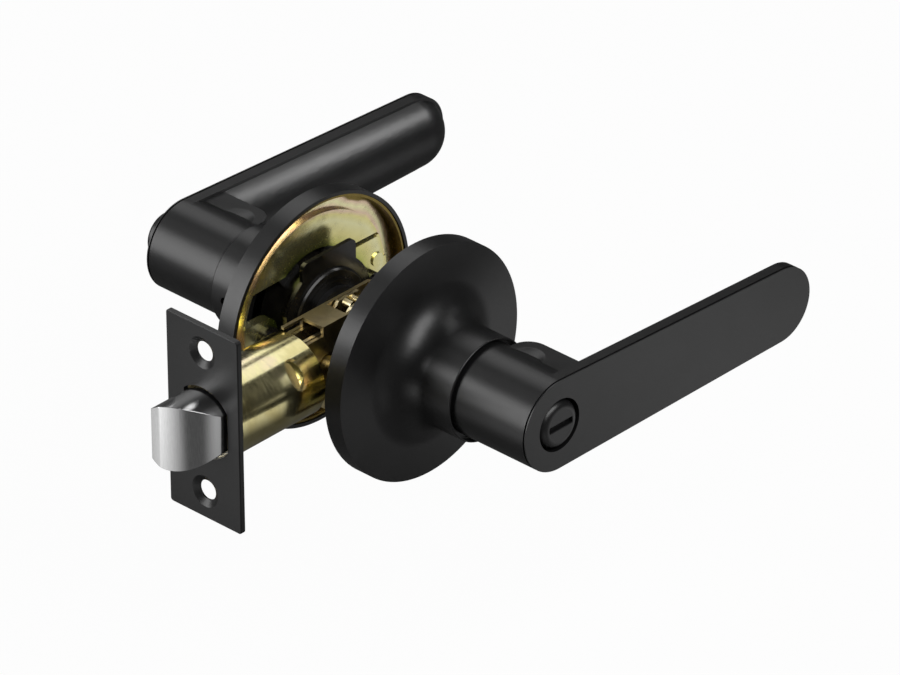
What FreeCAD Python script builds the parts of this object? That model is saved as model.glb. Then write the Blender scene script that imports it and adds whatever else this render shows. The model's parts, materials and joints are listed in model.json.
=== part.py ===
import FreeCAD, Part
import math
import os

# Privacy lever lock for an inner door, shown as it is bolted up off the door.
# Millimetres. The origin is where the spindle axis (Y) crosses the latch axis (X),
# halfway between the roses. +X runs from the door edge towards the lever tips,
# -Y is the outside of the room, +Y the inside, and +Z is up.

V = FreeCAD.Vector
ORIGIN = V(0, 0, 0)
ALONG_X = V(1, 0, 0)
ALONG_Y = V(0, 1, 0)

# Fits
RUNNING_FIT = 0.08
SEAT_GAP = 0.1
FREE_GAP = 0.4

# Door and handing
BACKSET = 60.3
DOOR_GAP = 33.0
HALF_GAP = DOOR_GAP / 2

# Roses
ROSE_RADIUS = 33.0
ROSE_RIM_DEPTH = 5.5
ROSE_WALL = 1.0
ROSE_DISHING = 7.0
ROSE_SWEEP_RADIUS = 10.0
NECK_RADIUS = 14.4
NECK_END = 42.5
NECK_LIP = 0.4
MOUTH_DEPTH = 1.8
CATCH_HOLE_RADIUS = 1.3
CATCH_HEIGHT = 37.6

# Yellow zinc liners
LINER_WALL = 0.7
LINER_EDGE_RECESS = 0.4
LINER_BASE_DEPTH = 3.8
LINER_STEP_RADIUS = 26.8
LINER_STEP_RISE = 1.3
LINER_DISH = 0.3
LINER_BORE_RADIUS = 16.6
WINDOW_RIM = 0.9
WINDOW_TOP = 13.1
EAR_HALF_WIDTH = 4.6
PAD_HALF_WIDTH = 11.3
PAD_OUTER_X = 24.2
PAD_RISE = 1.9
PAD_TONGUE = 4.4
PAD_NOTCH_RADIUS = 1.7
PAD_CORNER = 1.5
SLOT_CUT = 0.8
BOSS_RADIUS = 2.0
BOSS_RISE = 0.5
BOSS_X = 22.9
BOSS_Z = 4.5

# Spring housings behind the roses
BRACKET_HALF_WIDTH = 9.9
BRACKET_HALF_HEIGHT = 18.2
BRACKET_SHIFT = 0.7
BRACKET_DISC = 16.0
BRACKET_FACE = 14.0
BRACKET_WALL = 1.2
BRACKET_CORNER = 2.0
LUG_WALL = 0.9
LUG_REACH = 1.8
LUG_WIDTH = 7.0
LUG_ANGLE = 58.0
DOME_RADIUS = 12.9
DOME_RISE = 1.0
DOME_EDGE = 0.5
HOUSING_RADIUS = 14.2
HOUSING_WALL = 0.9
HOUSING_END = 24.6

# Sleeves that carry the levers
SLEEVE_RADIUS = 8.6
SLEEVE_WALL = 1.3
SLEEVE_FOOT = 10.4
SLEEVE_FOOT_WALL = 1.4
SLEEVE_END = 57.0
RING_WALL = 0.8
RING_WIDTH = 2.2
RING_GROOVE = 0.6
RING_MOUTH = 60.0
DRIVER_WALL = 1.4
DRIVER_TAB_WIDTH = 2.4
DRIVER_TAB_DEPTH = 4.0
SPRING_WIRE = 1.5
SPRING_SIDES = 4
SPRING_TURNS = 3.0

# Levers
LEVER_FACE = 67.4
HUB_RADIUS = 12.9
HUB_SHOULDER = 40.9
HUB_SPIGOT_LENGTH = 5.4
BLADE_REACH = 95.8
BLADE_TIP_RADIUS = 10.8
BLADE_TIP_DROP = 2.4
SLAB_THICKNESS = 3.8
GROOVE_WIDTH = 0.5
GROOVE_DEPTH = 0.5
GROOVE_BACK = 0.3
BODY_INSET = 0.9
BODY_DEPTH = 7.0
ROOT_END = 12.5
ROOT_DEPTH = 18.6
ROOT_CORNER = 5.5
COVE_LAP = 1.2
COVE_LENGTH = 11.0
COVE_HALF = 7.6
COVE_DEPTH = 13.0
COVE_END_DEPTH = 5.6
COVE_FALL = 2.2
SCOOP_RADIUS = 13.0
SCOOP_DEPTH = 0.9
SCOOP_X = 5.6
SCOOP_BACK = 12.0

# Buttons in the lever faces
BUTTON_RADIUS = 6.7
BUTTON_RING = 0.7
BUTTON_SEAT_DEPTH = 5.0
BUTTON_STEM_RADIUS = 4.6
RELEASE_PROUD = 0.5
RELEASE_RIM_DROP = 1.9
RELEASE_FLAT_RADIUS = 4.2
SLOT_LENGTH = 9.4
SLOT_WIDTH = 1.7
SLOT_DEPTH = 1.6
PUSH_PROUD = 6.5
PUSH_TRAVEL = 3.0
PUSH_EDGE = 1.0
LOCK_BAR_RADIUS = 1.5
LOCK_BAR_ROOM = 0.5
LOCK_BAR_END = 54.0

# Spindle
SPINDLE_SIDE = 8.0
SPINDLE_BORE = 2.2
SPINDLE_END = 17.0

# Through fixings
FIXING_X = 19.0
POST_RADIUS = 3.4
POST_END = 11.5
POST_BORE_DEPTH = 16.0
SCREW_RADIUS = 2.0
SCREW_HEAD_RADIUS = 3.3
SCREW_HEAD_HEIGHT = 1.0
SCREW_TIP = 0.5
COLLAR_RADIUS = 2.9
COLLAR_LENGTH = 2.6

# Latch front
FACEPLATE_HEIGHT = 57.15
FACEPLATE_WIDTH = 25.4
FACEPLATE_WALL = 1.5
FACEPLATE_CORNER = 1.0
FACEPLATE_EDGE = 0.25
BACKPLATE_WALL = 1.3
BACKPLATE_INSET = 1.6
FACE_SCREW_INSET = 7.925
FACE_SCREW_HOLE = 2.8
FACE_SCREW_SINK = 4.55
FACE_SCREW_LAND = 0.4

# Latch body
TUBE_RADIUS = 11.5
TUBE_WALL = 1.0
TUBE_END = -27.5
DIMPLE_ANGLE = 53.0
DIMPLE_HALF_LENGTH = 2.8
DIMPLE_HALF_HEIGHT = 4.5
DIMPLE_DEPTH = 1.3
BOLT_RADIUS = 9.5
BOLT_THROW = 12.7
BOLT_BACK_FLAT = 6.0
BOLT_FRONT_FLAT = 7.8
BOLT_TIP_Y = 3.2
BOLT_BEVEL_RADIUS = 17.0
BOLT_TAIL = -52.8
BOLT_COLLAR_WALL = 3.0
BOLT_BORE = 6.4
BOLT_BORE_DEPTH = 11.0
STEM_RADIUS = 2.2
SEAT_X = -39.6
SEAT_WALL = 1.2
LATCH_SPRING_WIRE = 1.2
LATCH_SPRING_RADIUS = 4.6
LATCH_SPRING_SIDES = 8
LATCH_SPRING_TURNS = 7.0

# Latch tail
YOKE_HALF_GAP = 1.8
YOKE_WALL = 1.0
YOKE_BLOCK_END = -35.6
YOKE_ARM_LOW = 7.0
YOKE_ARM_HIGH = 9.6
YOKE_EYE = 1.3
CASE_GAP = 0.4
CASE_WALL = 1.0
CASE_HALF_HEIGHT = 12.2
CASE_TAB_LENGTH = 3.5
CASE_FRONT = -20.5
BRIDGE_END = -11.5
CASE_END_RADIUS = 13.0
CAM_PIN_HEIGHT = 11.0
CAM_PIN_RADIUS = 1.1
CAM_TURN = 60.0
CAM_FINGER_HALF = 1.3
CAM_FINGER_LENGTH = 14.4
CAM_HUB_RADIUS = 6.4
CAM_START_GAP = 0.15


def box(x0, x1, y0, y1, z0, z1):
    return Part.makeBox(x1 - x0, y1 - y0, z1 - z0, V(x0, y0, z0))


def rod_y(radius, y0, y1, x=0.0, z=0.0):
    return Part.makeCylinder(radius, y1 - y0, V(x, y0, z), ALONG_Y)


def rod_x(radius, x0, x1, y=0.0, z=0.0):
    return Part.makeCylinder(radius, x1 - x0, V(x0, y, z), ALONG_X)


def tube_y(outer, inner, y0, y1):
    return rod_y(outer, y0, y1).cut(rod_y(inner, y0, y1))


def turned(edges):
    """Turn a closed outline of (radius, height) edges about the spindle axis."""
    return Part.Face(Part.Wire(edges)).revolve(ORIGIN, ALONG_Y, 360)


def path(points):
    """Straight edges through (radius, height) points, not closed."""
    spots = [V(r, h, 0) for r, h in points]
    return [Part.LineSegment(a, b).toShape() for a, b in zip(spots, spots[1:])]


def ring_profile(points):
    return turned(path(points + [points[0]]))


def plate_y(outline, y0, y1):
    """Extrude an (x, z) polygon from y0 to y1."""
    spots = [V(x, y0, z) for x, z in outline + [outline[0]]]
    return Part.Face(Part.makePolygon(spots)).extrude(V(0, y1 - y0, 0))


def to_outside(shape):
    return shape.mirror(ORIGIN, ALONG_Y)


def edges_along(shape, direction, test):
    chosen = []
    for edge in shape.Edges:
        a = edge.Vertexes[0].Point
        b = edge.Vertexes[-1].Point
        run = b.sub(a)
        if run.Length > 1e-6 and run.cross(direction).Length < 1e-6 and test(edge.CenterOfMass):
            chosen.append(edge)
    return chosen


def export(name, shape):
    shape.exportStep(os.path.join("parts", name + ".step"))


# Rose


def rose_front_height(radius):
    """Height of the rose's outer dished face at a radius, outside its sweep."""
    slope = math.tan(math.radians(ROSE_DISHING))
    return HALF_GAP + ROSE_RIM_DEPTH + (ROSE_RADIUS - radius) * slope


def sweep_centre():
    radius = NECK_RADIUS + ROSE_SWEEP_RADIUS
    lift = ROSE_SWEEP_RADIUS / math.cos(math.radians(ROSE_DISHING))
    return radius, rose_front_height(radius) + lift


def sweep_arc(radius):
    """Arc from the dished face to the neck, with its ends, about the sweep's centre."""
    centre_r, centre_h = sweep_centre()
    tilt = math.radians(ROSE_DISHING)
    start = V(centre_r - radius * math.sin(tilt), centre_h - radius * math.cos(tilt), 0)
    half = (tilt + math.pi / 2) / 2
    middle = V(centre_r - radius * math.sin(half), centre_h - radius * math.cos(half), 0)
    end = V(centre_r - radius, centre_h, 0)
    return Part.Arc(start, middle, end).toShape(), start, end


def rose(with_catch_hole):
    front, front_start, front_end = sweep_arc(ROSE_SWEEP_RADIUS)
    back, back_start, back_end = sweep_arc(ROSE_SWEEP_RADIUS + ROSE_WALL)
    inner_radius = ROSE_RADIUS - ROSE_WALL
    wall_drop = ROSE_WALL / math.cos(math.radians(ROSE_DISHING))
    rim_top = rose_front_height(ROSE_RADIUS)
    outer = path([(inner_radius, HALF_GAP), (ROSE_RADIUS, HALF_GAP), (ROSE_RADIUS, rim_top),
                  (front_start.x, front_start.y)])
    bore = NECK_RADIUS - ROSE_WALL
    lip_radius = NECK_RADIUS - NECK_LIP
    half = NECK_LIP * math.sin(math.pi / 4)
    lip = Part.Arc(V(NECK_RADIUS, NECK_END - NECK_LIP, 0),
                   V(lip_radius + half, NECK_END - NECK_LIP + half, 0),
                   V(lip_radius, NECK_END, 0)).toShape()
    mouth = NECK_END - MOUTH_DEPTH
    neck = path([(front_end.x, front_end.y), (NECK_RADIUS, NECK_END - NECK_LIP)]) + [lip] + \
        path([(lip_radius, NECK_END), (lip_radius, mouth), (bore, mouth), (back_end.x, back_end.y)])
    inner = path([(back_start.x, back_start.y),
                  (inner_radius, rose_front_height(inner_radius) - wall_drop),
                  (inner_radius, HALF_GAP)])
    shell = turned(outer + [front] + neck + [back] + inner)
    if with_catch_hole:
        shell = shell.cut(Part.makeCylinder(CATCH_HOLE_RADIUS, 2 * NECK_RADIUS,
                                            V(0, CATCH_HEIGHT, 0), V(-1, 0, 0)))
    return shell


# Liner


def liner_levels():
    rim_radius = ROSE_RADIUS - ROSE_WALL - SEAT_GAP
    edge = HALF_GAP + LINER_EDGE_RECESS
    base = HALF_GAP + LINER_BASE_DEPTH
    return rim_radius, edge, base


def pad_face():
    _, _, base = liner_levels()
    return base - PAD_RISE


def liner():
    """Zinc pan in the rose: flange, flat ring, raised dished disc, ears and windows."""
    rim, edge, base = liner_levels()
    step = LINER_STEP_RADIUS
    top = base - LINER_STEP_RISE
    bore = LINER_BORE_RADIUS
    wall = LINER_WALL
    pan = ring_profile([
        (rim - wall, edge), (rim - wall, base), (step, base), (step, top),
        (bore, top + LINER_DISH), (bore, top + LINER_DISH + wall), (step - wall, top + wall),
        (step - wall, base + wall), (rim, base + wall), (rim, edge)])
    window = box(-step, -LINER_BORE_RADIUS / 2, edge, base + 2 * wall, -WINDOW_TOP, WINDOW_TOP)
    window = window.common(rod_y(step - WINDOW_RIM, edge, base + 2 * wall))
    lance = box(FIXING_X - EAR_HALF_WIDTH, PAD_OUTER_X, edge, base + 2 * wall,
                PAD_HALF_WIDTH, PAD_HALF_WIDTH + SLOT_CUT)
    pan = pan.cut([window, lance])
    pan = pan.fuse([fixing_ear(), fixing_pad()])
    return pan.cut([rod_y(SCREW_RADIUS + FREE_GAP, edge, base + 2 * wall, x)
                    for x in (-FIXING_X, FIXING_X)]).removeSplitter()


def fixing_ear():
    """Radial strip on the door-edge side that takes one through fixing."""
    _, _, base = liner_levels()
    tip = FIXING_X - EAR_HALF_WIDTH
    strip = box(-LINER_STEP_RADIUS + LINER_WALL / 2, -FIXING_X, pad_face(), base + LINER_WALL,
                -EAR_HALF_WIDTH, EAR_HALF_WIDTH)
    nose = rod_y(EAR_HALF_WIDTH, pad_face(), base + LINER_WALL, -FIXING_X)
    return strip.fuse(nose).common(rod_y(LINER_STEP_RADIUS, pad_face(), base + LINER_WALL)) \
        .cut(rod_y(tip, pad_face(), base + LINER_WALL))


def fixing_pad():
    """Raised pad on the lever side that takes the other through fixing, with a small boss."""
    _, _, base = liner_levels()
    inner = FIXING_X - EAR_HALF_WIDTH
    low = pad_face()
    high = base + LINER_WALL
    block = box(inner, PAD_OUTER_X, low, high, -PAD_HALF_WIDTH, PAD_HALF_WIDTH)
    outer = edges_along(block, ALONG_Y, lambda c: c.x > FIXING_X)
    block = block.makeFillet(PAD_CORNER, outer)
    tongue = box(inner, LINER_STEP_RADIUS, low, high, -PAD_TONGUE, PAD_TONGUE)
    notch_z = PAD_TONGUE + PAD_NOTCH_RADIUS
    notches = [rod_y(PAD_NOTCH_RADIUS, low, high, PAD_OUTER_X + PAD_NOTCH_RADIUS / 2, z)
               for z in (-notch_z, notch_z)]
    pad = block.fuse(tongue).cut(notches)
    pad = pad.common(rod_y(LINER_STEP_RADIUS - LINER_WALL / 2, low, high)).cut(rod_y(inner, low, high))
    return pad.fuse(rod_y(BOSS_RADIUS, low - BOSS_RISE, high, BOSS_X, BOSS_Z)).removeSplitter()


# Spring housing


def rounded_plate(half_x, half_z, y0, y1, corner):
    block = box(-half_x, half_x, y0, y1, -half_z, half_z)
    return block.makeFillet(corner, edges_along(block, ALONG_Y, lambda c: True))


def spring_housing():
    """Black stamping: disc with two tabs, low dome on the door side, cup behind."""
    face = BRACKET_FACE
    back = face + BRACKET_WALL
    plate = rounded_plate(BRACKET_HALF_WIDTH, BRACKET_HALF_HEIGHT, face, back, BRACKET_CORNER)
    plate.translate(V(BRACKET_SHIFT, 0, 0))
    disc = rod_y(BRACKET_DISC, face, back)
    dome = ring_profile([(0, face - DOME_RISE), (DOME_RADIUS - DOME_EDGE, face - DOME_RISE),
                         (DOME_RADIUS, face - DOME_RISE + DOME_EDGE), (DOME_RADIUS, back),
                         (0, back)])
    cup = tube_y(HOUSING_RADIUS, HOUSING_RADIUS - HOUSING_WALL, face, HOUSING_END)
    housing = plate.fuse([disc, dome, cup] + staked_lugs())
    post_ways = [rod_y(POST_RADIUS + FREE_GAP, face, back, x) for x in (-FIXING_X, FIXING_X)]
    return housing.cut([rod_y(SLEEVE_RADIUS + RUNNING_FIT, 0, HOUSING_END)] + post_ways) \
        .removeSplitter()


def staked_lugs():
    """Four lugs turned out behind the edge of the liner's bore, which hold the cup to it."""
    _, _, base = liner_levels()
    low = base - LINER_STEP_RISE + LINER_DISH + LINER_WALL + SEAT_GAP
    outer = LINER_BORE_RADIUS + LUG_REACH
    ring = tube_y(outer, HOUSING_RADIUS - HOUSING_WALL, low, low + LUG_WALL)
    lugs = []
    for angle in (LUG_ANGLE, 180 - LUG_ANGLE):
        bar = box(-outer, outer, low, low + LUG_WALL, -LUG_WIDTH / 2, LUG_WIDTH / 2)
        bar.rotate(ORIGIN, ALONG_Y, angle)
        lugs.append(ring.common(bar))
    return lugs


def ring_height():
    return BRACKET_FACE - DOME_RISE - SEAT_GAP - RING_WALL


def driver_height():
    return HOUSING_END - DRIVER_WALL


def sleeve():
    """Tube that carries the lever; its foot has the square hole for the spindle."""
    bore = SLEEVE_RADIUS - SLEEVE_WALL
    body = tube_y(SLEEVE_RADIUS, bore, SLEEVE_FOOT, SLEEVE_END)
    foot = rod_y(SLEEVE_RADIUS, SLEEVE_FOOT, SLEEVE_FOOT + SLEEVE_FOOT_WALL)
    half = SPINDLE_SIDE / 2 + RUNNING_FIT
    hole = box(-half, half, 0, SLEEVE_END, -half, half)
    groove = tube_y(SLEEVE_RADIUS + 1, SLEEVE_RADIUS - RING_GROOVE, ring_height(),
                    ring_height() + RING_WALL)
    pin_hole = Part.makeCylinder(pin_radius(), 2 * SLEEVE_RADIUS, V(0, CATCH_HEIGHT, 0), V(-1, 0, 0))
    return body.fuse(foot.cut(hole)).cut([groove, pin_hole]).removeSplitter()


def pin_radius():
    return CATCH_HOLE_RADIUS - SEAT_GAP


def retaining_ring():
    """Open spring ring in the sleeve's groove, against the housing's dome."""
    inner = SLEEVE_RADIUS - RING_GROOVE + RUNNING_FIT
    low = ring_height()
    ring = tube_y(inner + RING_WIDTH, inner, low, low + RING_WALL)
    reach = 2 * (inner + RING_WIDTH)
    spread = reach * math.tan(math.radians(RING_MOUTH / 2))
    mouth = plate_y([(0, 0), (-spread, -reach), (spread, -reach)], low, low + RING_WALL)
    return ring.cut(mouth)


def spring_room():
    """Inner radius of the cup and the radius of the coil's middle."""
    outer = HOUSING_RADIUS - HOUSING_WALL
    return outer, (outer + SLEEVE_RADIUS) / 2


def spring_driver():
    """Washer on the sleeve with a tab that winds the return spring."""
    outer, middle = spring_room()
    low = driver_height()
    washer = tube_y(outer - SEAT_GAP, SLEEVE_RADIUS, low, HOUSING_END)
    half = DRIVER_TAB_WIDTH / 2
    tab = box(-half, half, low - DRIVER_TAB_DEPTH, low, SLEEVE_RADIUS + FREE_GAP, outer - FREE_GAP)
    flat = tube_y(outer - FREE_GAP, SLEEVE_RADIUS + FREE_GAP, low - DRIVER_TAB_DEPTH, low)
    return washer.fuse(tab.common(flat))


def coil(radius, wire, sides, start, length, turns):
    """Wire with a many-sided section wound along the spindle axis from start."""
    helix = Part.makeHelix(length / turns, length, radius)
    corners = []
    for k in range(sides + 1):
        angle = 2 * math.pi * (k + 0.5) / sides
        corners.append(V(radius + wire / 2 * math.cos(angle), 0, wire / 2 * math.sin(angle)))
    body = Part.Wire(helix).makePipeShell([Part.makePolygon(corners)], True, True)
    body.rotate(ORIGIN, V(1, 0, 0), -90)
    body.translate(V(0, start, 0))
    return body


def return_spring():
    _, middle = spring_room()
    back = BRACKET_FACE + BRACKET_WALL
    room = driver_height() - DRIVER_TAB_DEPTH - back - SPRING_WIRE - 2 * SEAT_GAP
    start = back + SPRING_WIRE / 2 + SEAT_GAP
    return coil(middle, SPRING_WIRE, SPRING_SIDES, start, room, SPRING_TURNS)


# Lever


def blade_frame(inset):
    """Centres, radii and tangent angle of the two circles that bound the blade."""
    root = HUB_RADIUS - inset
    tip = BLADE_TIP_RADIUS - inset
    tip_x = BLADE_REACH - BLADE_TIP_RADIUS
    run = math.hypot(tip_x, BLADE_TIP_DROP)
    lean = math.atan2(-BLADE_TIP_DROP, tip_x)
    open_angle = math.acos((root - tip) / run)
    return root, tip, tip_x, lean, open_angle


def on_circle(x, z, radius, angle, height):
    return V(x + radius * math.cos(angle), height, z + radius * math.sin(angle))


def blade_outline(inset, height):
    root, tip, tip_x, lean, opening = blade_frame(inset)
    up = lean + opening
    down = lean - opening
    root_up = on_circle(0, 0, root, up, height)
    root_back = on_circle(0, 0, root, lean + math.pi, height)
    root_down = on_circle(0, 0, root, down, height)
    tip_up = on_circle(tip_x, -BLADE_TIP_DROP, tip, up, height)
    tip_end = on_circle(tip_x, -BLADE_TIP_DROP, tip, lean, height)
    tip_down = on_circle(tip_x, -BLADE_TIP_DROP, tip, down, height)
    edges = [Part.Arc(root_up, root_back, root_down).toShape(),
             Part.LineSegment(root_down, tip_down).toShape(),
             Part.Arc(tip_down, tip_end, tip_up).toShape(),
             Part.LineSegment(tip_up, root_up).toShape()]
    return Part.Face(Part.Wire(edges))


def blade_prism(inset, low, high):
    return blade_outline(inset, low).extrude(V(0, high - low, 0))


def body_section(x, depth):
    """Bowed section across the blade's back at x, between the slab and the door."""
    root, tip, tip_x, _, _ = blade_frame(BODY_INSET)
    share = x / tip_x
    middle_z = -BLADE_TIP_DROP * share
    half = root + (tip - root) * share
    back = LEVER_FACE - SLAB_THICKNESS
    low = V(x, back, middle_z - half)
    high = V(x, back, middle_z + half)
    crown = V(x, back - depth, middle_z)
    return Part.Wire([Part.Arc(low, crown, high).toShape(), Part.LineSegment(high, low).toShape()])


def cove_section(share):
    """Bowed section of the cove that runs from the root block's side into the blade's back."""
    _, _, tip_x, _, _ = blade_frame(BODY_INSET)
    x = ROOT_END - COVE_LAP + (COVE_LENGTH + COVE_LAP) * share
    fall = (1 - share) ** COVE_FALL
    back = LEVER_FACE - SLAB_THICKNESS
    depth = COVE_END_DEPTH + (COVE_DEPTH - COVE_END_DEPTH) * fall
    middle_z = -BLADE_TIP_DROP * x / tip_x
    crown = V(x, back - depth, middle_z)
    low = V(x, back, middle_z - COVE_HALF)
    high = V(x, back, middle_z + COVE_HALF)
    return Part.Wire([Part.Arc(low, crown, high).toShape(), Part.LineSegment(high, low).toShape()])


def blade_body():
    """Bowed back of the blade, its cove at the root and its rounded end."""
    _, tip, tip_x, _, _ = blade_frame(BODY_INSET)
    back = LEVER_FACE - SLAB_THICKNESS
    long_run = Part.makeLoft([body_section(0, BODY_DEPTH), body_section(tip_x, BODY_DEPTH)],
                             True, True)
    cove = Part.makeLoft([cove_section(share) for share in (0.0, 0.25, 0.5, 0.75, 1.0)], True, False)
    ball = (tip ** 2 + BODY_DEPTH ** 2) / (2 * BODY_DEPTH)
    end = Part.makeSphere(ball, V(tip_x, back - BODY_DEPTH + ball, -BLADE_TIP_DROP))
    end = end.common(box(tip_x, BLADE_REACH, back - BODY_DEPTH, back, -ball, ball))
    return [long_run, cove, end]


def root_block():
    """Shoulder where the blade meets the hub: full height, rounded towards the rose."""
    back = LEVER_FACE - SLAB_THICKNESS
    low = back - ROOT_DEPTH
    block = blade_prism(BODY_INSET, low, back)
    block = block.common(box(-HUB_RADIUS, ROOT_END, low, back, -HUB_RADIUS, HUB_RADIUS))
    corner = edges_along(block, V(0, 0, 1), lambda c: c.x > ROOT_END - 0.01 and c.y < low + 0.01)
    block = block.makeFillet(ROOT_CORNER, corner)
    root, _, _, lean, opening = blade_frame(BODY_INSET)
    crest = root / math.sin(opening + lean) - SCOOP_X / math.tan(opening + lean)
    return block.cut(Part.makeSphere(SCOOP_RADIUS, V(SCOOP_X, back - SCOOP_BACK,
                                                     crest - SCOOP_DEPTH + SCOOP_RADIUS)))


def lever():
    """Cast lever: hub with spigot, flat front slab and bowed back."""
    back = LEVER_FACE - SLAB_THICKNESS
    spigot_radius = NECK_RADIUS - ROSE_WALL - RUNNING_FIT
    hub = rod_y(HUB_RADIUS, HUB_SHOULDER, LEVER_FACE)
    spigot = rod_y(spigot_radius, HUB_SHOULDER - HUB_SPIGOT_LENGTH,
                   NECK_END - MOUTH_DEPTH - SEAT_GAP)
    slab = blade_prism(0, back, LEVER_FACE)
    rim_top = LEVER_FACE - GROOVE_BACK
    ring = blade_prism(0, rim_top - GROOVE_WIDTH, rim_top)
    ring = ring.cut(blade_prism(GROOVE_DEPTH, rim_top - GROOVE_WIDTH, rim_top))
    solid = hub.fuse([spigot, slab, root_block()] + blade_body())
    bore = rod_y(SLEEVE_RADIUS + RUNNING_FIT, HUB_SHOULDER - HUB_SPIGOT_LENGTH,
                 SLEEVE_END + SEAT_GAP)
    seat = rod_y(BUTTON_RADIUS + BUTTON_RING, LEVER_FACE - BUTTON_SEAT_DEPTH, LEVER_FACE)
    stem_way = rod_y(BUTTON_STEM_RADIUS + RUNNING_FIT, SLEEVE_END, LEVER_FACE)
    pin_hole = Part.makeCylinder(pin_radius(), 2 * HUB_RADIUS, V(0, CATCH_HEIGHT, 0), V(-1, 0, 0))
    return solid.cut([ring, bore, seat, stem_way, pin_hole]).removeSplitter()


def lever_pin():
    """Cross pin through the sleeve's wall and the lever's spigot."""
    inner = SLEEVE_RADIUS - SLEEVE_WALL
    outer = NECK_RADIUS - ROSE_WALL - RUNNING_FIT - SEAT_GAP
    return Part.makeCylinder(pin_radius(), outer - inner, V(-inner, CATCH_HEIGHT, 0), V(-1, 0, 0))


# Buttons and lock bar


def release_button():
    """Slotted emergency release, modelled on the +Y side and mirrored for use."""
    seat = LEVER_FACE - BUTTON_SEAT_DEPTH + SEAT_GAP
    top = LEVER_FACE + RELEASE_PROUD
    rim = LEVER_FACE - RELEASE_RIM_DROP
    mid_radius = (BUTTON_RADIUS + RELEASE_FLAT_RADIUS) / 2 + 0.3 * (BUTTON_RADIUS - RELEASE_FLAT_RADIUS)
    bow = Part.Arc(V(BUTTON_RADIUS, rim, 0), V(mid_radius, (top + rim) / 2 + 0.2 * (top - rim), 0),
                   V(RELEASE_FLAT_RADIUS, top, 0)).toShape()
    outline = path([(0, seat), (BUTTON_RADIUS, seat), (BUTTON_RADIUS, rim)]) + [bow] + \
        path([(RELEASE_FLAT_RADIUS, top), (0, top), (0, seat)])
    head = turned(outline)
    half_l = SLOT_LENGTH / 2
    half_w = SLOT_WIDTH / 2
    slot = box(-half_l, half_l, top - SLOT_DEPTH, top, -half_w, half_w)
    tail_end = LOCK_BAR_END - PUSH_TRAVEL
    tail = rod_y(BUTTON_STEM_RADIUS, tail_end, seat)
    way = rod_y(LOCK_BAR_RADIUS + LOCK_BAR_ROOM, tail_end, LOCK_BAR_END + PUSH_TRAVEL + FREE_GAP)
    return head.fuse(tail).cut([slot, way]).removeSplitter()


def push_button():
    low = LEVER_FACE - BUTTON_SEAT_DEPTH + PUSH_TRAVEL + FREE_GAP
    top = LEVER_FACE + PUSH_PROUD
    head = ring_profile([(0, low), (BUTTON_RADIUS, low), (BUTTON_RADIUS, top - PUSH_EDGE),
                         (BUTTON_RADIUS - PUSH_EDGE * 0.3, top - PUSH_EDGE * 0.3),
                         (BUTTON_RADIUS - PUSH_EDGE, top), (0, top)])
    stem = rod_y(BUTTON_STEM_RADIUS, SLEEVE_END, low)
    return head.fuse(stem).removeSplitter()


def lock_bar():
    return rod_y(LOCK_BAR_RADIUS, -LOCK_BAR_END, SLEEVE_END)


def drive_spindle():
    half = SPINDLE_SIDE / 2
    bar = box(-half, half, -SPINDLE_END, SPINDLE_END, -half, half)
    bar = bar.makeChamfer(0.6, edges_along(bar, ALONG_Y, lambda c: True))
    return bar.cut(rod_y(SPINDLE_BORE, -SPINDLE_END, SPINDLE_END))


# Through fixings


def mounting_posts():
    """Threaded posts riveted to the outside liner."""
    posts = []
    for x in (-FIXING_X, FIXING_X):
        post = rod_y(POST_RADIUS, -pad_face(), POST_END, x)
        posts.append(post.cut(rod_y(SCREW_RADIUS + RUNNING_FIT, POST_END - POST_BORE_DEPTH,
                                    POST_END, x)))
    return Part.makeCompound(posts)


def mounting_screws():
    """Screws from the inside, each with a black spacing collar against the liner."""
    _, _, base = liner_levels()
    seat = base + LINER_WALL
    screws = []
    for x in (-FIXING_X, FIXING_X):
        shank = rod_y(SCREW_RADIUS, SCREW_TIP, seat, x)
        head = rod_y(SCREW_HEAD_RADIUS, seat, seat + SCREW_HEAD_HEIGHT, x)
        collar = rod_y(COLLAR_RADIUS, pad_face() - COLLAR_LENGTH, pad_face(), x)
        screws.append(shank.fuse(head))
        screws.append(collar.cut(rod_y(SCREW_RADIUS, 0, seat, x)))
    return Part.makeCompound(screws)


# Latch


def bolt_section(radius, x0, x1, grow=0.0):
    bar = rod_x(radius + grow, x0, x1)
    reach = 2 * radius
    keep = box(x0, x1, -BOLT_FRONT_FLAT - grow, BOLT_BACK_FLAT + grow, -reach, reach)
    return bar.common(keep)


def face_screw_heights():
    half = FACEPLATE_HEIGHT / 2 - FACE_SCREW_INSET
    return -half, half


def faceplate():
    front = -BACKSET
    half_y = FACEPLATE_WIDTH / 2
    half_z = FACEPLATE_HEIGHT / 2
    plate = box(front, front + FACEPLATE_WALL, -half_y, half_y, -half_z, half_z)
    plate = plate.makeFillet(FACEPLATE_CORNER, edges_along(plate, ALONG_X, lambda c: True))
    rim = [e for e in plate.Edges if abs(e.CenterOfMass.x - front) < 1e-6]
    plate = plate.makeChamfer(FACEPLATE_EDGE, rim)
    cuts = [bolt_section(BOLT_RADIUS, front - 1, front + FACEPLATE_WALL + 1, 2 * FREE_GAP)]
    for z in face_screw_heights():
        cuts.append(rod_x(FACE_SCREW_HOLE, front - 1, front + FACEPLATE_WALL + 1, 0, z))
        cuts.append(Part.makeCone(FACE_SCREW_SINK, FACE_SCREW_HOLE,
                                  FACEPLATE_WALL - FACE_SCREW_LAND, V(front, 0, z), ALONG_X))
    return plate.cut(cuts)


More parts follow.
